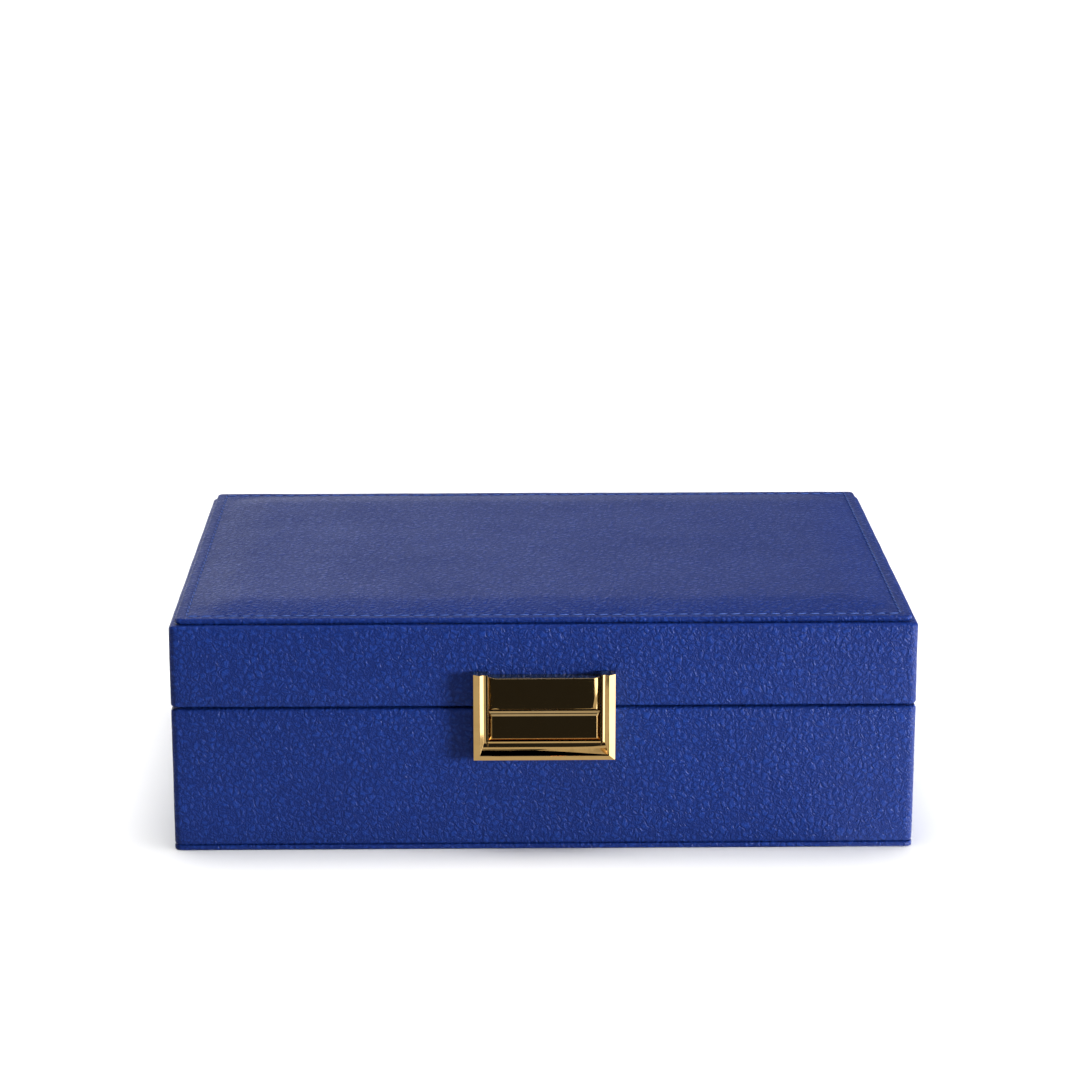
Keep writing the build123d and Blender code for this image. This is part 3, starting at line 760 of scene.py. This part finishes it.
brass = polished_metal("satin_brass", "hinge_brass",
                       (0.72, 0.52, 0.25, 1), (0.60, 0.41, 0.18, 1), 0.22, 0.38, scratch=1.0)
plated = polished_metal("nickel_plate", "plated_steel",
                        (0.60, 0.58, 0.54, 1), (0.48, 0.46, 0.43, 1), 0.25, 0.40)
steel = polished_metal("spring_steel", "spring_steel",
                       (0.44, 0.45, 0.47, 1), (0.33, 0.34, 0.36, 1), 0.28, 0.42)
finish_nodes(brass, [n for n in frame["nodes"] if n.startswith("hinge_")])
finish_nodes(plated, ["lock_backing_plate", "hasp_backing_plate", "lock_screws", "hasp_screws",
                      "catch_rivets"])
finish_nodes(steel, ["catch_spring", "button_spring_left", "button_spring_right", "button_retainers"])

# ---- Lock frame ----
# A die-cast U in polished gold plate, screwed to the base from inside. Its rail is a low ridge
# with a groove and a ledge inside it, and its arms rise beside the lid's plate.
gold = polished_metal("polished_gold_plate", "polished_gold",
                      (0.90, 0.62, 0.28, 1), (0.80, 0.53, 0.22, 1), 0.05, 0.11)
lock_low, lock_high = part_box("lock_frame")
hasp_low, hasp_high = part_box("hasp_plate")
key_low, key_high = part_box("push_button")
SIDE_GAP = 0.2 * MM
FACE = base_low.y          # the hide's front face
opening = hasp_high.x + SIDE_GAP
sill = key_low.z - SIDE_GAP


def crisp_edges(piece, width):
    """Rounds every edge a little and keeps the faces between them flat in reflections."""
    smooth(piece, 20)
    modify(piece, "BEVEL", width=width, segments=2, limit_method="ANGLE", angle_limit=math.radians(20),
           harden_normals=True)


LOCK_RISE = 1.4 * MM       # the outer slope, from the rail's side up to the ridge
RIDGE_OUT = 2.0 * MM
RIDGE_FLAT = 0.15 * MM
RIDGE_IN = 1.15 * MM
GROOVE_DEPTH = 0.75 * MM
GROOVE_FLAT = 0.1 * MM
LEDGE_RISE = 0.35 * MM
LEDGE_RISE_RUN = 0.6 * MM
OPENING_DEPTH = 3.3 * MM
ledge_run = lock_high.x - opening - RIDGE_OUT - RIDGE_IN
shoulder = lock_low.y + LOCK_RISE
lock = block("lock_frame_gold", (lock_low.x, shoulder, lock_low.z),
             (lock_high.x, FACE, 2 * lock_high.z - lock_low.z))
edit(lock)
pick(lock, "FACE", facing(0, -1, 0))
for run, depth in ((RIDGE_OUT - RIDGE_FLAT, LOCK_RISE), (RIDGE_FLAT, 0),
                   (RIDGE_IN, -GROOVE_DEPTH), (GROOVE_FLAT, 0),
                   (LEDGE_RISE_RUN, LEDGE_RISE), (ledge_run - LEDGE_RISE_RUN - GROOVE_FLAT, 0)):
    bpy.ops.mesh.inset(thickness=run, depth=depth)
pick(lock, "FACE", lambda f: facing(0, -1, 0, 1e-5)(f) and abs(f.calc_center_median().x) < 1e-4)
bpy.ops.mesh.extrude_region_move(TRANSFORM_OT_translate={"value": (0, OPENING_DEPTH, 0)})
# The opening's lower edge and the ledge's rise under it move to the sill, and the rail stays.
mesh = bmesh.from_edit_mesh(lock.data)
low_opening = min(v.co.z for f in mesh.faces if f.select for v in f.verts)
bpy.ops.mesh.select_mode(type="VERT")
bpy.ops.mesh.select_all(action="DESELECT")
for vertex in mesh.verts:
    if low_opening - LEDGE_RISE_RUN - 0.6 * MM < vertex.co.z < low_opening + 0.05 * MM:
        vertex.select_set(True)
bmesh.update_edit_mesh(lock.data)
bpy.ops.transform.translate(value=(0, 0, sill - low_opening))
bpy.ops.mesh.select_all(action="SELECT")
bpy.ops.mesh.bisect(plane_co=(0, 0, lock_high.z), plane_no=(0, 0, 1), use_fill=True, clear_outer=True)
bpy.ops.object.mode_set(mode="OBJECT")
cut_out(lock, (-opening, FACE - 9 * MM, base_high.z - 0.1 * MM),
        (opening, FACE + 1 * MM, lock_high.z + 1 * MM))
cut_out(lock, (lock_low.x - 1 * MM, FACE - 0.4 * MM, base_high.z),
        (lock_high.x + 1 * MM, FACE + 1 * MM, lock_high.z + 1 * MM))
crisp_edges(lock, 0.10 * MM)
place(lock, "base", gold, "lock_frame")

# ---- Lock plates ----
# The hasp plate, screwed to the lid, and the push button under it, both die-cast and polished
# like the frame. Both have sloped borders, and the hasp's lower corners are soft.
PLATE_EDGE = 0.08 * MM
PLATE_GAP = 0.1 * MM       # between the hasp and the button under it
HASP_SLOPE = 0.7 * MM
KEY_SLOPE = 0.9 * MM
KEY_SET_BACK = 0.8 * MM
KEY_BACK = 3.8 * MM        # the button's back face, in front of the hide


def plate(name, low, high, front_y, side, low_bevel, high_bevel, soft_corner=0.0):
    """A plate with a sloped border: the front face is shrunk and moved to leave four slopes."""
    piece = block(name, low, high)
    edit(piece)
    pick(piece, "FACE", facing(0, -1, 0))
    bpy.ops.mesh.extrude_region_move(TRANSFORM_OT_translate={"value": (0, front_y - low[1], 0)})
    wide, tall = high[0] - low[0], high[2] - low[2]
    middle = Vector(((low[0] + high[0]) / 2, front_y, (low[2] + high[2]) / 2))
    bpy.ops.transform.resize(value=((wide - 2 * side) / wide, 1, (tall - low_bevel - high_bevel) / tall),
                             center_override=middle)
    bpy.ops.transform.translate(value=(0, 0, (low_bevel - high_bevel) / 2))
    if soft_corner:
        mesh = bmesh.from_edit_mesh(piece.data)
        bpy.ops.mesh.select_mode(type="VERT")
        bpy.ops.mesh.select_all(action="DESELECT")
        for vertex in mesh.verts:
            if vertex.co.y < front_y + 1e-6 and vertex.co.z < middle.z:
                vertex.select_set(True)
        bmesh.update_edit_mesh(piece.data)
        bpy.ops.mesh.bevel(offset=soft_corner, segments=5, affect="VERTICES")
    crisp_edges(piece, PLATE_EDGE)
    return piece


hasp = plate("hasp_plate_gold", (hasp_low.x, hasp_low.y + HASP_SLOPE, key_high.z + PLATE_GAP),
             (hasp_high.x, FACE, hasp_high.z), hasp_low.y,
             side=2.2 * MM, low_bevel=0.3 * MM, high_bevel=0.3 * MM, soft_corner=1.5 * MM)
place(hasp, "lid", gold, "hasp_plate")
key_front = key_low.y + KEY_SET_BACK
key = plate("push_button_gold", (key_low.x, key_front + KEY_SLOPE, key_low.z),
            (key_high.x, FACE - KEY_BACK, key_high.z), key_front,
            side=1.0 * MM, low_bevel=0.8 * MM, high_bevel=1.4 * MM)
place(key, "button", gold, "push_button")

# ---- Studio ----
# A white floor, a soft window light from the right that misses the floor, and a broad light from
# above. A dark flag and four cards, which only reflections see, give the gold its dark and bright.


def studio_card(name, x, y, z, colour, glow=0.0):
    """A flat card over the given spans. One that glows is seen only in reflections."""
    low, high = Vector((x[0], y[0], z[0])), Vector((x[1], y[1], z[1]))
    made = block(name, low, high)
    surface = bpy.data.materials.new(name)
    surface.use_nodes = True
    paint = surface.node_tree.nodes["Principled BSDF"]
    paint.inputs["Base Color"].default_value = (*colour, 1)
    paint.inputs["Roughness"].default_value = 1.0
    paint.inputs["Specular IOR Level"].default_value = 0.0
    if glow:
        paint.inputs["Base Color"].default_value = (0, 0, 0, 1)
        paint.inputs["Emission Color"].default_value = (*colour, 1)
        paint.inputs["Emission Strength"].default_value = glow
    made.data.materials.append(surface)
    for sight in ("camera", "diffuse", "shadow", "transmission"):
        setattr(made, f"visible_{sight}", not glow)
    made.visible_glossy = bool(glow)
    return made


GROUND = cad_low.z
floor = studio_card("floor", (-7, 7), (-3, 9), (GROUND - 0.01, GROUND), (0.96, 0.96, 0.96))
JUST_UNDER = (GROUND - 0.001, GROUND - 0.0005)
for name, x, y, z, colour, glow in (
        ("front_flag", (-0.14, 0.05), (-0.166, -0.165), (GROUND, 0.085), (1.0, 1.0, 0.95), 0.018),
        ("left_card", (-0.305, -0.30), (-0.30, 0.10), (GROUND, 0.20), (1.0, 0.97, 0.90), 0.42),
        ("near_floor", (-0.30, 0.09), (-0.30, 0.20), JUST_UNDER, (1.0, 0.93, 0.78), 0.52),
        ("right_floor", (0.09, 0.45), (-0.40, 0.20), JUST_UNDER, (1.0, 1.0, 1.0), 2.6),
        ("right_card", (0.45, 0.455), (-0.45, 0.10), (GROUND, 0.25), (1.0, 1.0, 1.0), 2.6)):
    studio_card(name, x, y, z, colour, glow)


def lamp(name, kind, where, aim, power, mirrored, **settings):
    """A light that points at a place. Polished metal shows it only if it is mirrored."""
    data = bpy.data.lights.new(name, kind)
    data.energy = power
    for key, value in settings.items():
        setattr(data, key, value)
    made = bpy.data.objects.new(name, data)
    bpy.context.scene.collection.objects.link(made)
    made.location = where
    made.visible_glossy = mirrored
    made.rotation_euler = (Vector(aim) - Vector(where)).to_track_quat("-Z", "Y").to_euler()
    return made


window = lamp("window", "AREA", (1.20, -0.72, 0.20), (0, -0.08, 0.04), 40, True,
              shape="RECTANGLE", size=0.26, size_y=0.30)
missed = bpy.data.collections.new("window_light_misses")
missed.objects.link(floor)
missed.collection_objects[0].light_linking.link_state = "EXCLUDE"
window.light_linking.receiver_collection = missed
lamp("ceiling", "SUN", (0.10, 0.10, 1.5), (0, 0, 0), 3.3, False, angle=math.radians(50))


def studio_world():
    """White to the camera, and a dim room to everything else, darker in front than behind."""
    made = bpy.data.worlds.new("studio_air")
    made.use_nodes = True
    tree = made.node_tree
    seen = tree.nodes.new("ShaderNodeLightPath").outputs["Is Camera Ray"]
    way = tree.nodes.new("ShaderNodeTexCoord").outputs["Generated"]
    split = tree.nodes.new("ShaderNodeSeparateXYZ")
    tree.links.new(way, split.inputs[0])

    def span(axis, low, high, at_low, at_high):
        """A brightness that goes softly from one value to another along an axis of the view."""
        made = tree.nodes.new("ShaderNodeMapRange")
        made.interpolation_type = "SMOOTHSTEP"
        for key, value in (("From Min", low), ("From Max", high), ("To Min", at_low), ("To Max", at_high)):
            made.inputs[key].default_value = value
        tree.links.new(split.outputs[axis], made.inputs["Value"])
        return made.outputs["Result"]

    def times(first, second, operation="MULTIPLY"):
        made = tree.nodes.new("ShaderNodeMath")
        made.operation = operation
        tree.links.new(first, made.inputs[0])
        tree.links.new(second, made.inputs[1])
        return made.outputs[0]

    def plus(first, second):
        return times(first, second, "ADD")

    behind = times(times(span("Y", 0.1, 0.6, 0.0, 1.0), span("Z", 0.31, 0.43, 1.0, 0.06)),
                   span("X", -0.30, 0.30, 1.48, 0.26))
    high_front = times(times(span("Z", 0.36, 0.50, 0.0, 0.42), span("Z", 0.80, 0.90, 1.0, 0.1)),
                       span("Y", -0.2, 0.2, 1.0, 0.1))
    zenith = times(span("Z", 0.90, 0.96, 0.0, 1.0), span("Y", -0.15, 0.05, 0.0, 1.6))
    room = plus(plus(behind, high_front), zenith)
    strength = tree.nodes.new("ShaderNodeMix")
    strength.inputs["B"].default_value = 1.0
    tree.links.new(seen, strength.inputs["Factor"])
    tree.links.new(room, strength.inputs["A"])
    tree.links.new(strength.outputs["Result"], tree.nodes["Background"].inputs["Strength"])
    tree.nodes["Background"].inputs["Color"].default_value = (1, 1, 1, 1)
    return made


bpy.context.scene.world = studio_world()
bpy.context.scene.view_settings.view_transform = "Standard"

CAMERA_LENS = 102.88
CAMERA_TILT = 14.64         # degrees below level
CAMERA_TURN = -0.93
camera_data = bpy.data.cameras.new("camera")
camera_data.lens = CAMERA_LENS
camera = bpy.data.objects.new("camera", camera_data)
bpy.context.scene.collection.objects.link(camera)
camera.location = (-0.0160, -0.9891, 0.3363)
camera.rotation_euler = (math.radians(90 - CAMERA_TILT), 0, math.radians(CAMERA_TURN))
bpy.context.scene.camera = camera
